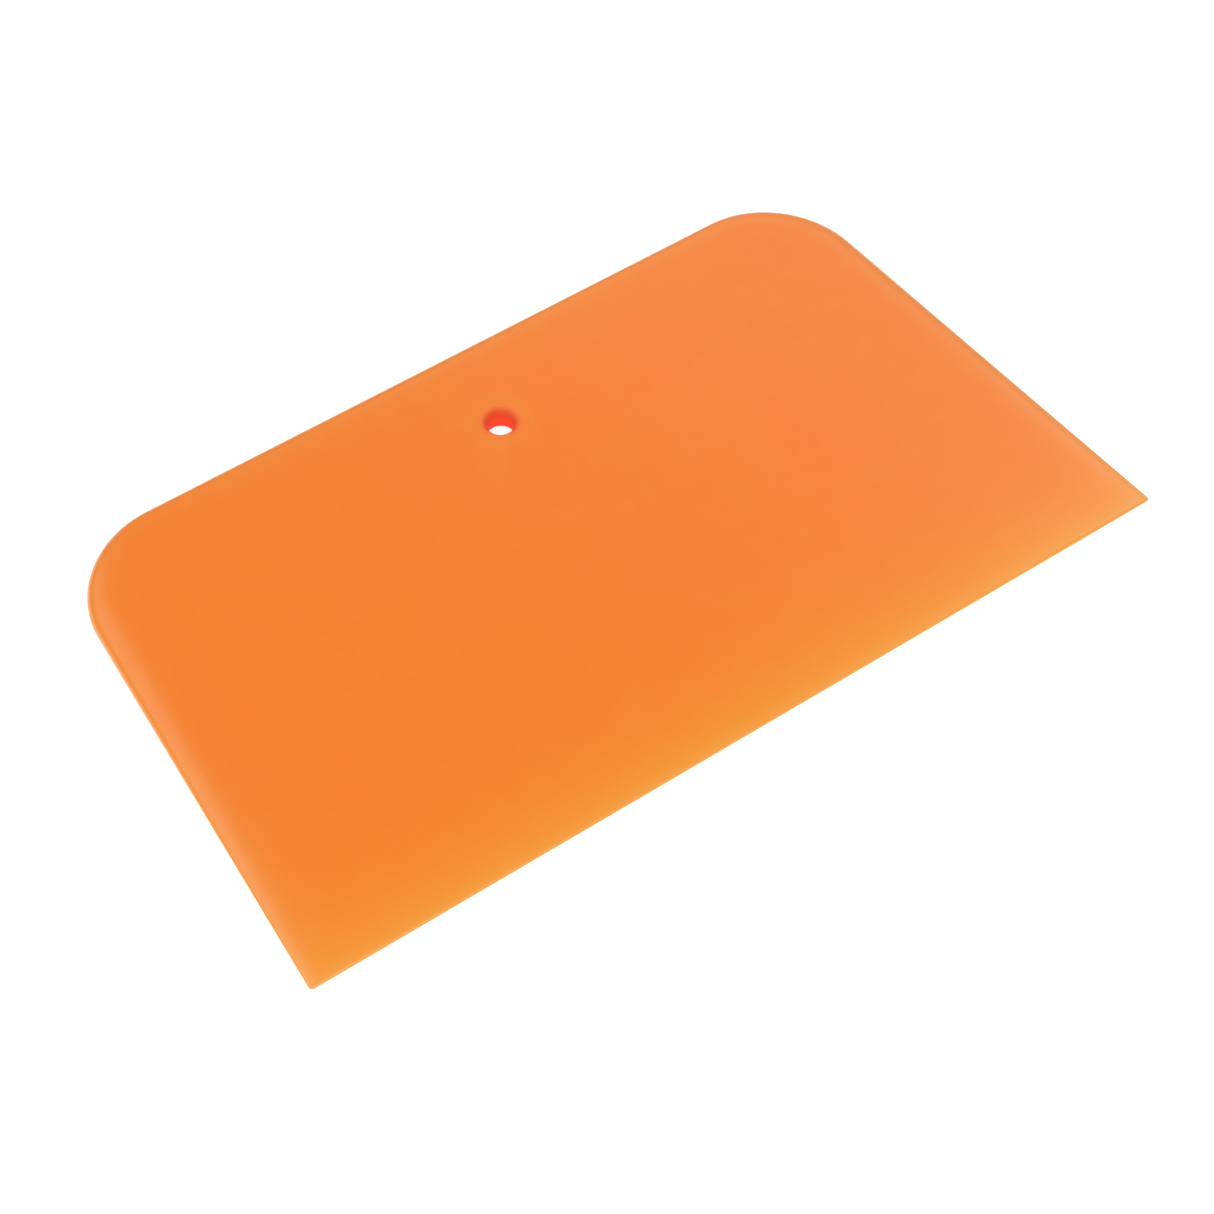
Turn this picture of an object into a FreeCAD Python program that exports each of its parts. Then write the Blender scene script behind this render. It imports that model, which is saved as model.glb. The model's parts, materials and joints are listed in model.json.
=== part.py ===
import FreeCAD, Part
import math
import os

import Sketcher

# Squeegee card: a one-piece moulded plate that tapers from a thick back, held in the hand, to a thin
# working edge. Seen from above it is a trapezoid, widest at the working edge, with two large rounded
# corners at the back. All its outer edges are softly rounded, and a small hole near the middle of the
# back edge hangs it on a peg.
#
# Frame, in millimetres: the flat underside lies on Z = 0 and the origin is below the middle of the
# card. X runs along the working edge, which is at the low end of Y, and +Z is up.

NODE = "squeegee_card"

SIZES = [
    ("card_width", 150.0, "length of the working edge, corner to corner"),
    ("back_width", 136.6, "width at the back, before its corners are rounded"),
    ("card_depth", 83.5, "working edge to back edge"),
    ("back_corner_radius", 17.0, "large rounded corners at the back"),
    ("tip_corner_radius", 0.8, "small rounding at the two ends of the working edge"),
    ("lip_thickness", 0.7, "thickness at the working edge"),
    ("back_thickness", 4.6, "thickness at the back edge"),
    ("rim_share", 0.44, "radius of the outer rims, as a share of the thickness there"),
    ("hole_radius", 2.1, "straight wall of the hang hole"),
    ("hole_inset", 16.3, "back edge to the centre of the hang hole"),
    ("hole_offset", 1.0, "how far the hang hole lies to the right of the middle"),
    ("hole_rim_radius", 1.0, "rounding of the hole's two rims"),
]

TOUCHING = 1e-4


def make_sheet(doc):
    """The driving dimensions, one to a row: a note, then the number under its alias."""
    sheet = doc.addObject("Spreadsheet::Sheet", "sizes")
    for row, (alias, value, note) in enumerate(SIZES, start=1):
        sheet.set(f"A{row}", note)
        sheet.set(f"B{row}", str(value))
        sheet.setAlias(f"B{row}", alias)
    doc.recompute()
    return sheet


def origin_plane(body, role):
    """One of the body's own base planes."""
    return next(feature for feature in body.Origin.OriginFeatures if feature.Role == role)


def new_sketch(body, name, role):
    sketch = body.newObject("Sketcher::SketchObject", name)
    sketch.AttachmentSupport = (origin_plane(body, role), [""])
    sketch.MapMode = "FlatFace"
    return sketch


def closed_outline(sketch, corners):
    """Straight lines through the corners in order, joined end to end. Returns the lines' numbers."""
    points = [FreeCAD.Vector(x, y, 0) for x, y in corners]
    lines = []
    for start, end in zip(points, points[1:] + points[:1]):
        lines.append(sketch.addGeometry(Part.LineSegment(start, end), False))
    for line, following in zip(lines, lines[1:] + lines[:1]):
        sketch.addConstraint(Sketcher.Constraint("Coincident", line, 2, following, 1))
    return lines


def bind(sketch, constraint, name, expression):
    """Adds a sized constraint under a name and ties it to the sheet."""
    number = sketch.addConstraint(constraint)
    sketch.renameConstraint(number, name)
    sketch.setExpression(f"Constraints.{name}", expression)


def plan_sketch(body, sheet):
    """The card from above, with sharp corners: front line, right side, back line, left side."""
    sketch = new_sketch(body, "plan", "XY_Plane")
    front_x = sheet.card_width / 2
    back_x = sheet.back_width / 2
    half_depth = sheet.card_depth / 2
    front, _, back, _ = closed_outline(
        sketch,
        [(-front_x, -half_depth), (front_x, -half_depth), (back_x, half_depth), (-back_x, half_depth)],
    )
    vertical_axis = -2
    sketch.addConstraint(Sketcher.Constraint("Symmetric", front, 1, front, 2, vertical_axis))
    sketch.addConstraint(Sketcher.Constraint("Symmetric", back, 1, back, 2, vertical_axis))
    bind(sketch, Sketcher.Constraint("DistanceX", front, 1, front, 2, sheet.card_width),
         "front_width", "sizes.card_width")
    bind(sketch, Sketcher.Constraint("DistanceX", back, 2, back, 1, sheet.back_width),
         "back_width", "sizes.back_width")
    bind(sketch, Sketcher.Constraint("DistanceY", front, 1, -1, 1, half_depth),
         "front_from_middle", "sizes.card_depth / 2")
    bind(sketch, Sketcher.Constraint("DistanceY", -1, 1, back, 1, half_depth),
         "back_from_middle", "sizes.card_depth / 2")
    return sketch


def taper_sketch(body, sheet):
    """Side view of what is cut away above the sloping top: lip height in front, back height behind."""
    sketch = new_sketch(body, "taper", "YZ_Plane")
    half_depth = sheet.card_depth / 2
    above = sheet.back_thickness + sheet.lip_thickness
    slope, rear, roof, face = closed_outline(
        sketch,
        [(-half_depth, sheet.lip_thickness), (half_depth, sheet.back_thickness),
         (half_depth, above), (-half_depth, above)],
    )
    sketch.addConstraint(Sketcher.Constraint("Vertical", rear))
    sketch.addConstraint(Sketcher.Constraint("Horizontal", roof))
    sketch.addConstraint(Sketcher.Constraint("Vertical", face))
    bind(sketch, Sketcher.Constraint("DistanceX", slope, 1, -1, 1, half_depth),
         "front_from_middle", "sizes.card_depth / 2")
    bind(sketch, Sketcher.Constraint("DistanceX", -1, 1, slope, 2, half_depth),
         "back_from_middle", "sizes.card_depth / 2")
    bind(sketch, Sketcher.Constraint("DistanceY", -1, 1, slope, 1, sheet.lip_thickness),
         "lip_height", "sizes.lip_thickness")
    bind(sketch, Sketcher.Constraint("DistanceY", -1, 1, slope, 2, sheet.back_thickness),
         "back_height", "sizes.back_thickness")
    bind(sketch, Sketcher.Constraint("DistanceY", -1, 1, roof, 1, above),
         "roof_height", "sizes.back_thickness + sizes.lip_thickness")
    return sketch


def hole_centre(sheet):
    return FreeCAD.Vector(sheet.hole_offset, sheet.card_depth / 2 - sheet.hole_inset, 0)


def hole_sketch(body, sheet):
    """The hang hole, a little to the right of the middle."""
    sketch = new_sketch(body, "hole", "XY_Plane")
    centre = hole_centre(sheet)
    circle = sketch.addGeometry(Part.Circle(centre, FreeCAD.Vector(0, 0, 1), sheet.hole_radius), False)
    bind(sketch, Sketcher.Constraint("Radius", circle, sheet.hole_radius),
         "radius", "sizes.hole_radius")
    bind(sketch, Sketcher.Constraint("DistanceX", -1, 1, circle, 3, centre.x),
         "to_the_right", "sizes.hole_offset")
    bind(sketch, Sketcher.Constraint("DistanceY", -1, 1, circle, 3, centre.y),
         "from_middle", "sizes.card_depth / 2 - sizes.hole_inset")
    return sketch


def from_hole_axis(point, sheet):
    """Level distance from the hang hole's axis."""
    centre = hole_centre(sheet)
    return math.hypot(point.x - centre.x, point.y - centre.y)


def edge_names(shape, wanted):
    """Names, such as Edge4, of the edges for which wanted(edge) holds."""
    return [f"Edge{number}" for number, edge in enumerate(shape.Edges, start=1) if wanted(edge)]


def is_upright(edge):
    first, last = edge.Vertexes[0].Point, edge.Vertexes[-1].Point
    level_run = math.hypot(last.x - first.x, last.y - first.y)
    return level_run < TOUCHING and abs(last.z - first.z) > TOUCHING


def add_pad(doc, body, sketch):
    pad = body.newObject("PartDesign::Pad", "blank")
    pad.Profile = sketch
    pad.setExpression("Length", "sizes.back_thickness")
    doc.recompute()
    return pad


def add_cut(doc, body, name, sketch, length):
    """A pocket that runs equally far to both sides of its sketch."""
    volume_before = body.Shape.Volume
    pocket = body.newObject("PartDesign::Pocket", name)
    pocket.Profile = sketch
    pocket.SideType = "Symmetric"
    pocket.setExpression("Length", length)
    doc.recompute()
    if body.Shape.Volume > volume_before - TOUCHING:
        raise RuntimeError(f"{name} removed nothing")
    return pocket


def add_rounding(doc, body, name, base, edges, radius):
    rounding = body.newObject("PartDesign::Fillet", name)
    rounding.Base = (base, edges)
    rounding.setExpression("Radius", radius)
    doc.recompute()
    return rounding


def thickness_at(sheet, y):
    """Thickness of the card's straight taper at a distance from its middle."""
    share = y / sheet.card_depth + 0.5
    return sheet.lip_thickness + share * (sheet.back_thickness - sheet.lip_thickness)


def ends_of(edge):
    """Both ends of an edge, in the edge's own direction."""
    return edge.valueAt(edge.FirstParameter), edge.valueAt(edge.LastParameter)


def walk_round(loop):
    """Takes the numbered edges of one closed rim and returns them in the order they are met, starting
    along the first edge's own direction: each number with the points where its edge begins and ends."""
    number, edge = loop[0]
    start, here = ends_of(edge)
    met = [(number, start, here)]
    waiting = loop[1:]
    while waiting:
        for item in waiting:
            number, edge = item
            first, last = ends_of(edge)
            if first.isEqual(here, TOUCHING) or last.isEqual(here, TOUCHING):
                far = last if first.isEqual(here, TOUCHING) else first
                met.append((number, here, far))
                here = far
                waiting.remove(item)
                break
        else:
            raise RuntimeError("a rim is not one closed loop")
    return met


def add_rims(doc, body, sheet):
    """Rounds the top and bottom outer rims. The radius follows the thickness, so it is set edge by edge,
    and a narrow flat band is left between the two rims, where the mould halves meet."""
    rims = doc.addObject("Part::Fillet", "rims")
    rims.Label = NODE
    rims.Base = body
    hole_reach = sheet.hole_radius + 2 * sheet.hole_rim_radius
    bottom, top = [], []
    for number, edge in enumerate(body.Shape.Edges, start=1):
        point = edge.valueAt(edge.FirstParameter)
        if from_hole_axis(point, sheet) < hole_reach or is_upright(edge):
            continue
        rim = bottom if point.z < TOUCHING else top
        rim.append((number, edge))
    rims.Edges = [
        (number, sheet.rim_share * thickness_at(sheet, start.y), sheet.rim_share * thickness_at(sheet, end.y))
        for rim in (bottom, top)
        for number, start, end in walk_round(rim)
    ]
    doc.recompute()
    return rims


def make_card(doc, sheet):
    body = doc.addObject("PartDesign::Body", "card")
    body.Label = "card_blank"
    add_pad(doc, body, plan_sketch(body, sheet))
    taper = add_cut(doc, body, "taper_cut", taper_sketch(body, sheet), "2 * sizes.card_width")

    half_depth = sheet.card_depth / 2
    back_corners = edge_names(body.Shape, lambda e: is_upright(e) and e.CenterOfMass.y > 0)
    rounded_back = add_rounding(doc, body, "back_corners", taper, back_corners,
                                "sizes.back_corner_radius")
    at_the_tip = edge_names(
        body.Shape, lambda e: is_upright(e) and e.CenterOfMass.y < TOUCHING - half_depth)
    add_rounding(doc, body, "tip_corners", rounded_back, at_the_tip, "sizes.tip_corner_radius")

    hole = add_cut(doc, body, "hang_hole", hole_sketch(body, sheet), "4 * sizes.back_thickness")

    def on_the_hole(edge):
        from_wall = from_hole_axis(edge.valueAt(edge.FirstParameter), sheet) - sheet.hole_radius
        return abs(from_wall) < TOUCHING and not is_upright(edge)

    add_rounding(doc, body, "hole_rims", hole, edge_names(body.Shape, on_the_hole),
                 "sizes.hole_rim_radius")
    return add_rims(doc, body, sheet)


def check(doc, sub_parts):
    for item in doc.Objects:
        if "Invalid" in item.State or "Error" in item.State:
            raise RuntimeError(f"{item.Label} failed: {item.State}")
    for item in sub_parts:
        if item.Shape.isNull() or not item.Shape.isValid():
            raise RuntimeError(f"{item.Label} has no valid shape")


def main():
    doc = FreeCAD.newDocument("squeegee")
    sheet = make_sheet(doc)
    sub_parts = [make_card(doc, sheet)]
    doc.recompute()
    check(doc, sub_parts)
    os.makedirs("parts", exist_ok=True)
    for item in sub_parts:
        item.Shape.exportStep(f"parts/{item.Label}.step")
        box = item.Shape.BoundBox
        print(f"{item.Label}: {box.XLength:.2f} x {box.YLength:.2f} x {box.ZLength:.2f} mm, "
              f"{item.Shape.Volume:.0f} mm3, {len(item.Shape.Solids)} solid")


main()
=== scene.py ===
import json
import math

import bpy
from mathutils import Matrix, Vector


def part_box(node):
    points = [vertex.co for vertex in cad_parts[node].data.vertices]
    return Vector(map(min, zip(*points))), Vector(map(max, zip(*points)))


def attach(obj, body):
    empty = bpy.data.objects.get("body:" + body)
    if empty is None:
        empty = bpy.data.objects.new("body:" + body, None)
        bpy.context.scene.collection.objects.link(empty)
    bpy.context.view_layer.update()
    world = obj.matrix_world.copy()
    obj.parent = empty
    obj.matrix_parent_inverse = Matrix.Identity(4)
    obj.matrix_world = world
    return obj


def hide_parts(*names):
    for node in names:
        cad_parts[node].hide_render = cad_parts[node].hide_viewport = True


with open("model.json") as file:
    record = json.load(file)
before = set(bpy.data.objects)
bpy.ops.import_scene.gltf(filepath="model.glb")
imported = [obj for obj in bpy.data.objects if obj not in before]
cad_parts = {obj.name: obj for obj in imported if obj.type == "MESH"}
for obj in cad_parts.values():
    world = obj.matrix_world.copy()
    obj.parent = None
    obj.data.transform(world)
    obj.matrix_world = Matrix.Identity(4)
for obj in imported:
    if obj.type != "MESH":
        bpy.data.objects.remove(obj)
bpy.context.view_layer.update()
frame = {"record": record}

# A squeegee card for smoothing vinyl film: one moulded plate of soft orange polymer, lying on a pale
# table. It tapers from a thick back to a thin working edge. All lengths are in metres.

MM = 0.001
CARD_NODE = "squeegee_card"
CARD_LOW, CARD_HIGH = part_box(CARD_NODE)
HANG_HOLE = next(m for m in frame["record"]["mounts"] if m["name"] == "hang_hole")
HOLE_X, HOLE_Y, _ = HANG_HOLE["pos_m"]

# The sizes of the moulded card. The outline, the thickness and the hole's wall are the CAD part's. The
# rims and the tips have sizes of their own.
CARD_SIZES = {
    "Working Width": 150.0 * MM,
    "Back Width": 136.6 * MM,
    "Depth": CARD_HIGH.y - CARD_LOW.y,
    "Back Corner Radius": 17.0 * MM,
    "Tip Corner Radius": 0.6 * MM,
    "Lip Thickness": 0.7 * MM,
    "Back Thickness": 4.6 * MM,
    "Lip Rim Width": 0.45 * MM,
    "Side Rim at Lip": 3.1 * MM,
    "Side Rim at Back": 4.8 * MM,
    "Back Rim Width": 2.9 * MM,
    "Rim Fullness": 3.0,
    "Hole X": HOLE_X,
    "Hole Y": HOLE_Y,
    "Hole Radius": HANG_HOLE["dims"]["r_mm"] * MM,
    "Hole Rim Radius": 0.8 * MM,
    "Outline Step": 1.5 * MM,
    "Fan": 25.0 * MM,
}
CARD_COUNTS = {
    "Corner Steps": 28,
    "Tip Steps": 6,
    "Hole Rim Rows": 8,
    "Face Rows": 22,
    "Outer Rim Rows": 16,
}
# The hole's wall has a row at its middle and a row where its rim starts.
WALL_ROWS = 2.0
WELD_GAP = 0.002 * MM
# Added before rounding down, so that a quotient that should be whole never falls just short of it.
ROUNDING_NUDGE = 0.0005
QUARTER_TURN = math.pi / 2

# The polymer's colours. The ambers are painted light from the table coming through where the card is
# thin.
# The pale ones are painted highlights and glow on the lip and the rims, and painted reflections round
# the hang hole. The reds are painted light bouncing inside the hole, lit at the bottom of its wall and
# shaded at its top. The blotches take the pale orange and the lit wall's red.
DEEP_ORANGE = (0.849, 0.188, 0.010, 1.0)
AMBER = (0.855, 0.290, 0.012, 1.0)
PALE_AMBER = (0.82, 0.35, 0.085, 1.0)
PALE_ORANGE = (0.79, 0.28, 0.040, 1.0)
LIT_WALL_AND_BLOTCH_RED = (0.95, 0.055, 0.012, 1.0)
SHADED_WALL_RED = (0.80, 0.088, 0.012, 1.0)
WHITE = (1.0, 1.0, 1.0, 1.0)

# How far each colour reaches. A single length is the distance over which it fades. A pair is where it
# starts to show and where it is full.
THIN_FADE = 0.33 * MM
TIP_FADE = 5.0 * MM
EDGE_FADE = 0.9 * MM
RIM_FADE = 2.6 * MM
# The halo is a painted reflection: a pale ring round the hang hole.
HALO_OUTSIDE = (6.4 * MM, 4.2 * MM)
HALO_INSIDE = (2.9 * MM, 3.8 * MM)
# The streak is a painted reflection: a faint pale streak that runs this way from the hole.
STREAK_DIRECTION = (-0.57, -0.82)
STREAK_ASIDE = (2.2 * MM, 0.2 * MM)
STREAK_START = (2.0 * MM, 6.0 * MM)
STREAK_END = (17.0 * MM, 6.0 * MM)
# The glow is painted light: the red of the hole's wall, spread over its rim except at the start of the
# painted streak.
GLOW_OUTSIDE = (3.5 * MM, 2.3 * MM)
GLOW_ALONG = (2.9 * MM, 1.4 * MM)
WALL_SHARE = (0.3, 0.9)
# Up this height of the hole's wall, the painted red turns from lit at the bottom to shaded at the top.
WALL_HEIGHT = (0.6 * MM, 3.4 * MM)

# How much of each colour is laid over the ones before it.
TIP_PALENESS = 0.3
EDGE_PALENESS = 0.6
RIM_PALENESS = 0.7
HALO_PALENESS = 0.12
STREAK_PALENESS = 0.14
# How quickly the painted glow on the rims turns from pale amber to pale orange, going from the lip to
# the back.
RIM_TURN = 1.6
# Blotches show where their noise is above a level, and more strongly the further above it is.
MOTTLE_FROM = 0.42
MOTTLE_PALENESS = 0.34
CLOUD_FROM = 0.5
CLOUD_REDNESS = 0.16

# Each noise: the size of its blotches, and how much finer detail it has.
MOTTLE = (3.5 * MM, 3.0)
CLOUD = (26.0 * MM, 2.0)
SMEAR = (3.0 * MM, 4.0)
GRAIN = (0.45 * MM, 3.0)
PEEL = (2.4 * MM, 2.0)

# The polymer's shine and its fine texture. The face is fairly glossy and the inside of the hole dull.
POLYMER_IOR = 1.5
FACE_ROUGHNESS = 0.22
SMEAR_ROUGHNESS = 0.06
HOLE_ROUGHNESS = 0.6
GRAIN_SHARE = 0.35
TEXTURE_STRENGTH = 0.12
TEXTURE_HEIGHT = 0.05 * MM

TABLE_HALF = 3.0
TABLE_GAP = 0.02 * MM
TABLE_COLOUR = (0.93, 0.93, 0.93, 1.0)
TABLE_ROUGHNESS = 0.9
TABLE_SHINE = 0.1
TABLE_GLOW = 0.6

CAMERA_AZIMUTH = math.radians(-35.032)
CAMERA_ELEVATION = math.radians(52.464)
CAMERA_DISTANCE = 459.19 * MM
CAMERA_RIGHT = 2.637 * MM
CAMERA_UP = -9.157 * MM
CAMERA_NEAREST = 10.0 * MM
CAMERA_LENS_MM = 90.388
SENSOR_MM = 36.0

# Each softbox: its name, its direction from the card, its distance, its two sides and its watts.
SOFTBOXES = (
    ("back_left_softbox", (-0.36, 0.51, 0.77), 1.4, (1.15, 1.05), 4.7),
    ("back_right_softbox", (0.68, 0.51, 0.52), 1.4, (1.4, 0.9), 2.1),
    ("right_strip", (0.526, 0.491, 0.695), 1.4, (0.8, 0.45), 0.76),
    ("tip_light", (0.60, 0.20, 0.775), 1.4, (0.35, 0.35), 0.95),
    ("front_fill", (-0.25, -0.5, 0.83), 1.5, (1.5, 1.5), 17.2),
)
ROOM_LIGHT = 0.336

# The Mix node has a set of sockets for each kind of value. These are the colour ones.
MIX_UNDER = 6
MIX_OVER = 7
MIX_RESULT = 2


class Field:
    """A number in a node tree. Arithmetic on it adds Math nodes to the tree."""

    def __init__(self, tree, socket):
        self.tree = tree
        self.socket = socket

    def math(self, operation, *others, clamped=False):
        node = self.tree.nodes.new("ShaderNodeMath")
        node.operation = operation
        node.use_clamp = clamped
        for socket, value in zip(node.inputs, (self, *others)):
            feed(self.tree, value, socket)
        return Field(self.tree, node.outputs[0])

    def __add__(self, other):
        return self.math("ADD", other)

    __radd__ = __add__

    def __sub__(self, other):
        return self.math("SUBTRACT", other)

    def __rsub__(self, other):
        return (self * -1.0).math("ADD", other)

    def __mul__(self, other):
        return self.math("MULTIPLY", other)

    __rmul__ = __mul__

    def __truediv__(self, other):
        return self.math("DIVIDE", other)

    def __rtruediv__(self, other):
        return self.math("POWER", -1.0) * other

    def clamped(self):
        """Kept between 0 and 1."""
        return self.math("ADD", 0.0, clamped=True)


def feed(tree, value, socket):
    """Links a field or socket to an input, or sets the input to a plain value."""
    if isinstance(value, Field):
        tree.links.new(value.socket, socket)
    elif isinstance(value, bpy.types.NodeSocket):
        tree.links.new(value, socket)
    else:
        socket.default_value = value


def add_node(tree, kind, inputs=(), **settings):
    """A node with its settings and inputs. Inputs are (name or number, value or socket) pairs."""
    node = tree.nodes.new(kind)
    for name, value in settings.items():
        setattr(node, name, value)
    for name, value in inputs:
        feed(tree, value, node.inputs[name])
    return node


def split(tree, vector):
    """The X, Y and Z of a vector, as fields."""
    node = add_node(tree, "ShaderNodeSeparateXYZ", [(0, vector)])
    return [Field(tree, output) for output in node.outputs]


def point(tree, x, y, z=0.0):
    return add_node(tree, "ShaderNodeCombineXYZ", [("X", x), ("Y", y), ("Z", z)]).outputs[0]


def length(x, y):
    return (x * x + y * y).math("SQRT")


def mixed(start, end, share):
    return start + (end - start) * share


def step(tree, value, ends):
    """Rises smoothly from 0 at the first end to 1 at the second. The first end may be the higher."""
    start, full = ends
    node = add_node(tree, "ShaderNodeMapRange",
                    [("Value", value), ("From Min", start), ("From Max", full)],
                    interpolation_type="SMOOTHSTEP")
    return Field(tree, node.outputs[0])


def fading(distance, reach):
    """1 at no distance, and fading away over about this reach."""
    return (distance * (-1.0 / reach)).math("EXPONENT").clamped()


def noise(tree, place, kind):
    """Soft noise between 0 and 1."""
    size, detail = kind
    node = add_node(tree, "ShaderNodeTexNoise",
                    [("Vector", place), ("Scale", 1.0 / size), ("Detail", detail)])
    return Field(tree, node.outputs["Fac"])


def reading(tree, name):
    """A number that the mesh stores at each vertex."""
    return Field(tree, add_node(tree, "ShaderNodeAttribute", attribute_name=name).outputs["Fac"])


def blend(tree, under, over, share):
    """One colour laid over another."""
    node = add_node(tree, "ShaderNodeMix", [("Factor", share)], data_type="RGBA")
    feed(tree, under, node.inputs[MIX_UNDER])
    feed(tree, over, node.inputs[MIX_OVER])
    return node.outputs[MIX_RESULT]


def point_count(tree, curve):
    node = add_node(tree, "GeometryNodeAttributeDomainSize", [("Geometry", curve)], component="CURVE")
    return Field(tree, node.outputs["Point Count"])


def plan_outline(tree, size):
    """The closed outline of the card from above: a trapezoid with rounded corners, its long straight
    stretches cut into even steps."""
    trapezoid = add_node(
        tree, "GeometryNodeCurvePrimitiveQuadrilateral",
        [("Height", size["Depth"]), ("Bottom Width", size["Working Width"]),
         ("Top Width", size["Back Width"]), ("Offset", 0.0)],
        mode="TRAPEZOID")
    here = tree.nodes.new("GeometryNodeInputPosition").outputs[0]
    _, corner_y, _ = split(tree, here)
    at_back = corner_y.math("GREATER_THAN", 0.0)
    rounded = add_node(
        tree, "GeometryNodeFilletCurve",
        [("Curve", trapezoid.outputs[0]), ("Limit Radius", True),
         ("Count", mixed(size["Tip Steps"], size["Corner Steps"], at_back)),
         ("Radius", mixed(size["Tip Corner Radius"], size["Back Corner Radius"], at_back))],
        mode="POLY").outputs[0]
    index = Field(tree, tree.nodes.new("GeometryNodeInputIndex").outputs[0])
    following = add_node(
        tree, "GeometryNodeFieldAtIndex",
        [("Index", (index + 1.0).math("MODULO", point_count(tree, rounded))), ("Value", here)],
        data_type="FLOAT_VECTOR", domain="POINT")
    gap = add_node(tree, "ShaderNodeVectorMath", [(0, here), (1, following.outputs[0])],
                   operation="DISTANCE")
    cuts = (Field(tree, gap.outputs["Value"]) / size["Outline Step"]).math("FLOOR")
    return add_node(tree, "GeometryNodeSubdivideCurve", [("Curve", rounded), ("Cuts", cuts)]).outputs[0]


def sampled(tree, curve, node_kind, column):
    """The X and Y that an input node gives at one point of a curve."""
    value = tree.nodes.new(node_kind).outputs[0]
    node = add_node(tree, "GeometryNodeSampleIndex",
                    [("Geometry", curve), ("Value", value), ("Index", column)],
                    data_type="FLOAT_VECTOR", domain="POINT")
    x, y, _ = split(tree, node.outputs[0])
    return x, y


def stored(tree, shell, name, value):
    """The shell with a number stored at each vertex."""
    return add_node(tree, "GeometryNodeStoreNamedAttribute",
                    [("Geometry", shell), ("Name", name), ("Value", value)],
                    data_type="FLOAT", domain="POINT").outputs[0]


def progress(size, row):
    """How far a row has gone over the hole's rim (an angle), across the face (a share) and round the
    outer rim (an angle)."""
    past_wall = row - 1.0
    past_hole_rim = past_wall - size["Hole Rim Rows"]
    past_face = past_hole_rim - size["Face Rows"]
    round_hole = (past_wall / size["Hole Rim Rows"]).clamped() * QUARTER_TURN
    across = (past_hole_rim / size["Face Rows"]).clamped()
    across = across * across * (3.0 - across * 2.0)
    round_edge = (past_face / size["Outer Rim Rows"]).clamped() * QUARTER_TURN
    return round_hole, across, round_edge


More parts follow.
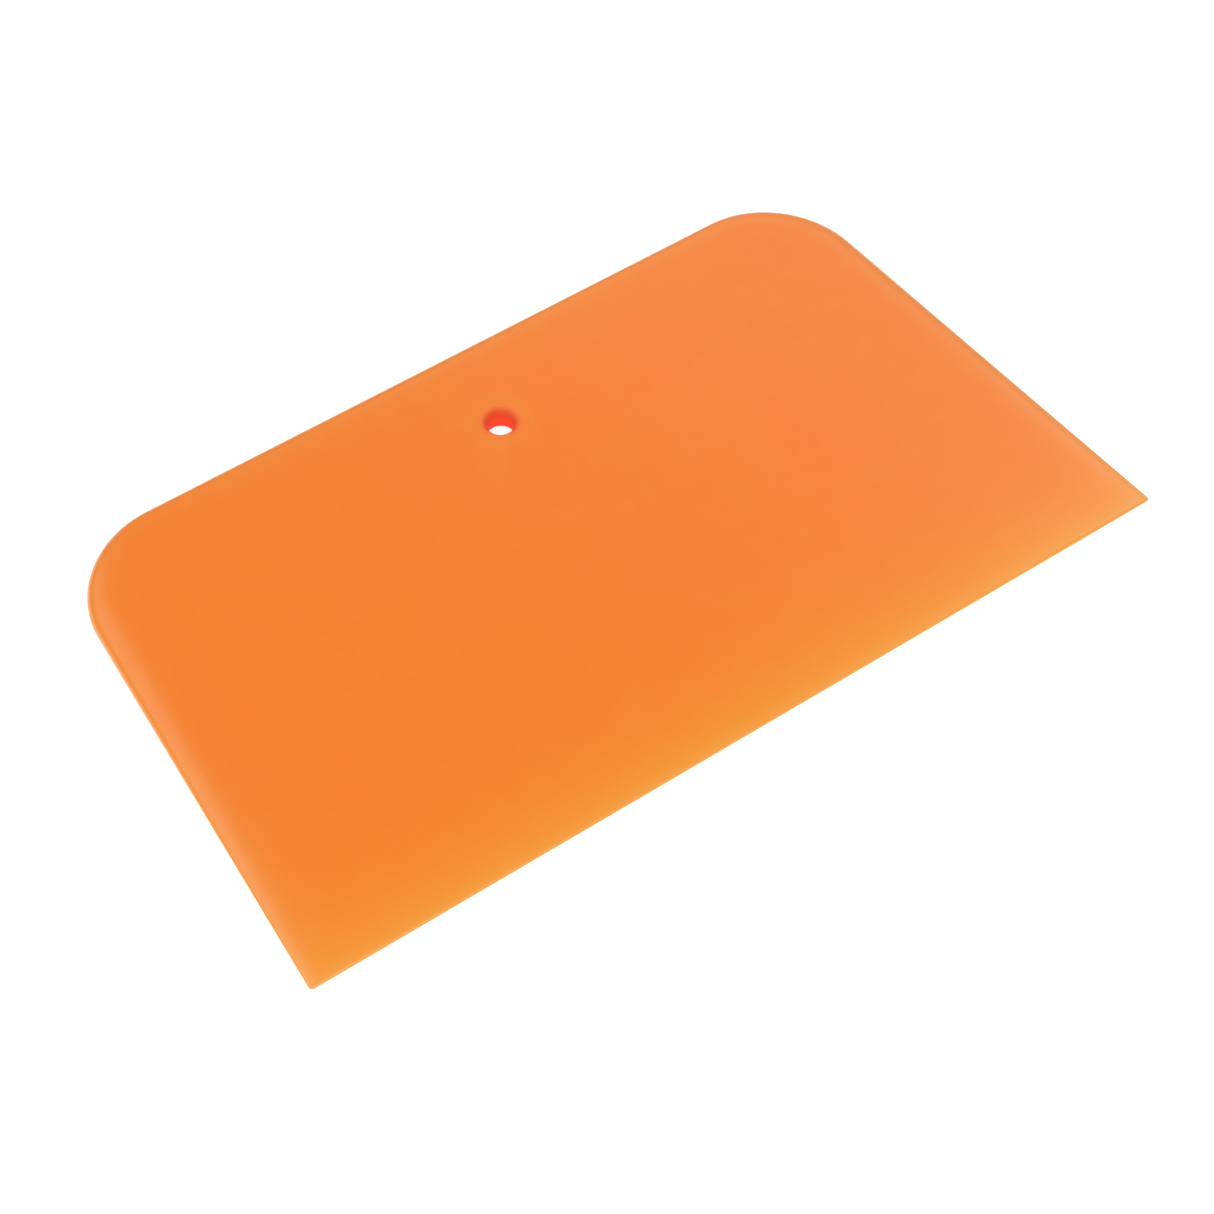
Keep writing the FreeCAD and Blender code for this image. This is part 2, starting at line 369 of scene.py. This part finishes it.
def card_tree(material):
    """Geometry nodes for the whole card. A sheet of vertices has one column for each point of the
    outline and one row for each line round the hole. The rows run from the middle of the hole's wall,
    over its rim, across the face and round the outer rim. One sheet makes the top and another the
    underside, and the two are welded."""
    tree = bpy.data.node_groups.new("tapered_card", "GeometryNodeTree")
    tree.interface.new_socket("Geometry", in_out="OUTPUT", socket_type="NodeSocketGeometry")
    for name in CARD_SIZES:
        tree.interface.new_socket(name, in_out="INPUT", socket_type="NodeSocketFloat")
    for name in CARD_COUNTS:
        tree.interface.new_socket(name, in_out="INPUT", socket_type="NodeSocketInt")
    given = tree.nodes.new("NodeGroupInput")
    size = {name: Field(tree, given.outputs[name]) for name in (*CARD_SIZES, *CARD_COUNTS)}

    outline = plan_outline(tree, size)
    columns = point_count(tree, outline)
    rows = size["Hole Rim Rows"] + size["Face Rows"] + size["Outer Rim Rows"] + WALL_ROWS
    sheet = add_node(tree, "GeometryNodeMeshGrid",
                     [("Size X", 1.0), ("Size Y", 1.0), ("Vertices X", columns + 1.0),
                      ("Vertices Y", rows)]).outputs["Mesh"]

    index = Field(tree, tree.nodes.new("GeometryNodeInputIndex").outputs[0])
    column = (index / rows + ROUNDING_NUDGE).math("FLOOR").math("MODULO", columns)
    row = index.math("MODULO", rows)
    round_hole, across, round_edge = progress(size, row)
    to_edge = round_edge.math("SINE").math("POWER", 2.0 / size["Rim Fullness"])

    edge_x, edge_y = sampled(tree, outline, "GeometryNodeInputPosition", column)
    along_x, along_y = sampled(tree, outline, "GeometryNodeInputTangent", column)
    out_x, out_y = along_y, along_x * -1.0

    half_depth = size["Depth"] * 0.5

    def share_back(y):
        return (y + half_depth) / size["Depth"]

    # Where the face meets the outer rim.
    side_rim = mixed(size["Side Rim at Lip"], size["Side Rim at Back"], share_back(edge_y))
    half_width = mixed(size["Working Width"], size["Back Width"], share_back(edge_y)) * 0.5
    at_lip, at_back = (out_y * -1.0).clamped(), out_y.clamped()
    inner_x = edge_x - side_rim * mixed(out_x, edge_x / half_width, at_lip)
    lip_rim = size["Lip Rim Width"] * (1.0 - share_back(edge_y)) * (1.0 - at_back)
    inner_y = edge_y - size["Back Rim Width"] * at_back + lip_rim

    # Where the column leaves the hole. It is aimed at a point outside the edge, which fans the columns.
    aim_x = edge_x + out_x * size["Fan"] - size["Hole X"]
    aim_y = edge_y + out_y * size["Fan"] - size["Hole Y"]
    aim = length(aim_x, aim_y)
    radius = size["Hole Radius"] + size["Hole Rim Radius"] * (1.0 - round_hole.math("COSINE"))
    start_x = size["Hole X"] + aim_x / aim * radius
    start_y = size["Hole Y"] + aim_y / aim * radius

    x = mixed(start_x, inner_x, across) + (edge_x - inner_x) * to_edge
    y = mixed(start_y, inner_y, across) + (edge_y - inner_y) * to_edge
    thickness = mixed(size["Lip Thickness"], size["Back Thickness"], share_back(y))
    half = thickness * 0.5
    off_middle = row.math("GREATER_THAN", 0.5)
    hole_lift = 1.0 - size["Hole Rim Radius"] / half * (1.0 - round_hole.math("SINE"))
    lift = off_middle * hole_lift * round_edge.math("COSINE")

    flat_outline = add_node(tree, "GeometryNodeCurveToMesh", [("Curve", outline)]).outputs[0]
    nearest = add_node(tree, "GeometryNodeProximity",
                       [("Geometry", flat_outline), ("Sample Position", point(tree, x, y))],
                       target_element="EDGES")
    both = tree.nodes.new("GeometryNodeJoinGeometry")
    for side in (1.0, -1.0):
        shell = stored(tree, sheet, "from_rim", nearest.outputs["Distance"])
        shell = stored(tree, shell, "thickness", thickness)
        shell = stored(tree, shell, "in_hole", 1.0 - round_hole / QUARTER_TURN)
        place = point(tree, x, y, half * (1.0 + lift * side))
        shell = add_node(tree, "GeometryNodeSetPosition",
                         [("Geometry", shell), ("Position", place)]).outputs[0]
        if side > 0:
            shell = add_node(tree, "GeometryNodeFlipFaces", [("Mesh", shell)]).outputs[0]
        tree.links.new(shell, both.inputs[0])
    welded = add_node(tree, "GeometryNodeMergeByDistance",
                      [("Geometry", both.outputs[0]), ("Distance", WELD_GAP)])
    smooth = add_node(tree, "GeometryNodeSetShadeSmooth",
                      [("Geometry", welded.outputs[0]), ("Shade Smooth", True)])
    real = add_node(tree, "GeometryNodeRealizeInstances", [("Geometry", smooth.outputs[0])])
    finished = add_node(tree, "GeometryNodeSetMaterial",
                        [("Geometry", real.outputs[0]), ("Material", material)])
    add_node(tree, "NodeGroupOutput", [("Geometry", finished.outputs[0])])
    return tree


def grown(name, tree, values):
    """The plain mesh that a geometry node tree makes from these input values."""
    holder = bpy.data.objects.new(name, bpy.data.meshes.new(name))
    bpy.context.scene.collection.objects.link(holder)
    modifier = holder.modifiers.new("shape", "NODES")
    modifier.node_group = tree
    for socket in tree.interface.items_tree:
        if socket.in_out == "INPUT":
            modifier[socket.identifier] = values[socket.name]
    graph = bpy.context.evaluated_depsgraph_get()
    mesh = bpy.data.meshes.new_from_object(
        holder.evaluated_get(graph), preserve_all_data_layers=True, depsgraph=graph)
    mesh.name = name
    holder.modifiers.remove(modifier)
    holder.data = mesh
    return holder


def polymer_colour(tree, place):
    """The polymer's colour, painted light and shade included, and how much of a spot belongs to the
    inside of the hang hole.
    """
    across, along, height = split(tree, place)
    from_rim = reading(tree, "from_rim")
    share_back = (along - CARD_LOW.y) / CARD_SIZES["Depth"]
    half_width = mixed(CARD_SIZES["Working Width"], CARD_SIZES["Back Width"], share_back) * 0.5
    from_side = half_width - across.math("ABSOLUTE")
    hole_x, hole_y = across - HOLE_X, along - HOLE_Y
    from_axis = length(hole_x, hole_y)
    streak_x, streak_y = STREAK_DIRECTION
    run = hole_x * streak_x + hole_y * streak_y
    aside = (hole_x * streak_y - hole_y * streak_x).math("ABSOLUTE")

    # Painted light: amber where the card is thin, as if light from the table came through.
    thin = fading(reading(tree, "thickness") - CARD_SIZES["Lip Thickness"], THIN_FADE)
    # Painted highlight: the lip is paler at its tips and along its edge.
    pale_lip = fading(from_side, TIP_FADE) * TIP_PALENESS + fading(from_rim, EDGE_FADE) * EDGE_PALENESS
    # Painted glow: paler near the rims, for light coming in at the edges.
    near_rim = fading(from_rim, RIM_FADE)
    # Painted reflection: a pale ring round the hole.
    halo = step(tree, from_axis, HALO_OUTSIDE) * step(tree, from_axis, HALO_INSIDE)
    # Painted reflection: a pale streak running from the hole towards the lip.
    painted_streak = step(tree, aside, STREAK_ASIDE) * step(tree, run, STREAK_START) * step(tree, run, STREAK_END)
    # Painted light: the red of the hole, spread over its rim.
    glow = step(tree, from_axis, GLOW_OUTSIDE) * step(tree, run, GLOW_ALONG)
    in_hole = glow.math("MAXIMUM", step(tree, reading(tree, "in_hole"), WALL_SHARE))
    mottle = noise(tree, place, MOTTLE)
    cloud = noise(tree, place, CLOUD)

    colour = blend(tree, DEEP_ORANGE, AMBER, thin)
    colour = blend(tree, colour, PALE_AMBER, pale_lip * thin)
    rim_glow = blend(tree, PALE_AMBER, PALE_ORANGE, share_back * RIM_TURN)
    colour = blend(tree, colour, rim_glow, near_rim * (1.0 - thin) * RIM_PALENESS)
    colour = blend(tree, colour, PALE_ORANGE, halo * HALO_PALENESS + painted_streak * STREAK_PALENESS)
    # Painted light and shade in the hole: brighter red at the bottom of the wall, darker at its top.
    wall = blend(tree, LIT_WALL_AND_BLOTCH_RED, SHADED_WALL_RED, step(tree, height, WALL_HEIGHT))
    colour = blend(tree, colour, wall, in_hole)
    colour = blend(tree, colour, PALE_ORANGE, (mottle - MOTTLE_FROM) * MOTTLE_PALENESS)
    colour = blend(tree, colour, LIT_WALL_AND_BLOTCH_RED, (cloud - CLOUD_FROM) * CLOUD_REDNESS)
    return colour, in_hole


def soft_polymer():
    """Soft orange polymer. It is painted amber where the card is thin, as if light from the table came
    through. Its lip and rims are painted paler with highlights and glow. The wall of the hang hole is
    painted redder for light bouncing inside it, and a faint painted reflection streak runs from the
    hole towards the lip."""
    material = bpy.data.materials.new("soft_orange_polymer")
    material.use_nodes = True
    tree = material.node_tree
    shader = tree.nodes["Principled BSDF"]
    shader.inputs["IOR"].default_value = POLYMER_IOR

    place = tree.nodes.new("ShaderNodeTexCoord").outputs["Object"]
    colour, in_hole = polymer_colour(tree, place)
    feed(tree, colour, shader.inputs["Base Color"])

    smear = noise(tree, place, SMEAR)
    roughness = smear * SMEAR_ROUGHNESS + FACE_ROUGHNESS + in_hole * HOLE_ROUGHNESS
    feed(tree, roughness, shader.inputs["Roughness"])

    texture = noise(tree, place, GRAIN) * GRAIN_SHARE + noise(tree, place, PEEL)
    bump = add_node(
        tree, "ShaderNodeBump",
        [("Height", texture), ("Strength", TEXTURE_STRENGTH), ("Distance", TEXTURE_HEIGHT)])
    feed(tree, bump.outputs[0], shader.inputs["Normal"])
    return material


def pale_table():
    """A matt white surface that gives off some light, so that it looks an even white."""
    material = bpy.data.materials.new("pale_table")
    material.use_nodes = True
    shader = material.node_tree.nodes["Principled BSDF"]
    shader.inputs["Base Color"].default_value = TABLE_COLOUR
    shader.inputs["Roughness"].default_value = TABLE_ROUGHNESS
    shader.inputs["Specular IOR Level"].default_value = TABLE_SHINE
    shader.inputs["Emission Color"].default_value = WHITE
    shader.inputs["Emission Strength"].default_value = TABLE_GLOW
    return material


def add_floor():
    """A wide flat table, a hair under the card so that the two surfaces stay apart."""
    half = TABLE_HALF
    mesh = bpy.data.meshes.new("table_top")
    mesh.from_pydata([(-half, -half, 0), (half, -half, 0), (half, half, 0), (-half, half, 0)], [],
                     [(0, 1, 2, 3)])
    mesh.materials.append(pale_table())
    floor = bpy.data.objects.new("table_top", mesh)
    floor.location.z = CARD_LOW.z - TABLE_GAP
    bpy.context.scene.collection.objects.link(floor)


def aimed(name, data, place, facing):
    """A camera or light at a place, facing in a direction."""
    thing = bpy.data.objects.new(name, data)
    thing.location = place
    thing.rotation_mode = "QUATERNION"
    thing.rotation_quaternion = facing.to_track_quat("-Z", "Y")
    bpy.context.scene.collection.objects.link(thing)
    return thing


def add_camera():
    azimuth, elevation = CAMERA_AZIMUTH, CAMERA_ELEVATION
    back = Vector((math.sin(azimuth) * math.cos(elevation),
                   -math.cos(azimuth) * math.cos(elevation), math.sin(elevation)))
    right = Vector((math.cos(azimuth), math.sin(azimuth), 0.0))
    up = back.cross(right)
    middle = Vector(((CARD_LOW.x + CARD_HIGH.x) / 2, (CARD_LOW.y + CARD_HIGH.y) / 2, CARD_LOW.z))
    data = bpy.data.cameras.new("camera")
    data.lens = CAMERA_LENS_MM
    data.sensor_width = SENSOR_MM
    data.clip_start = CAMERA_NEAREST
    place = middle + back * CAMERA_DISTANCE + right * CAMERA_RIGHT + up * CAMERA_UP
    bpy.context.scene.camera = aimed("camera", data, place, -back)


def add_softbox(name, direction, distance, sides, watts):
    """A rectangular light that faces the card from a direction."""
    data = bpy.data.lights.new(name, "AREA")
    data.shape = "RECTANGLE"
    data.size, data.size_y = sides
    data.energy = watts
    towards = Vector(direction).normalized()
    aimed(name, data, towards * distance, -towards)


def add_lights():
    world = bpy.data.worlds.new("studio")
    world.use_nodes = True
    background = world.node_tree.nodes["Background"]
    background.inputs["Color"].default_value = WHITE
    background.inputs["Strength"].default_value = ROOM_LIGHT
    bpy.context.scene.world = world
    for softbox in SOFTBOXES:
        add_softbox(*softbox)


def set_view():
    view = bpy.context.scene.view_settings
    view.view_transform = "Standard"
    view.look = "None"
    view.exposure = 0.0
    view.gamma = 1.0


polymer = soft_polymer()
card = grown("moulded_card", card_tree(polymer), {**CARD_SIZES, **CARD_COUNTS})
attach(card, "root")
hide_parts(CARD_NODE)

add_floor()
add_camera()
add_lights()
set_view()
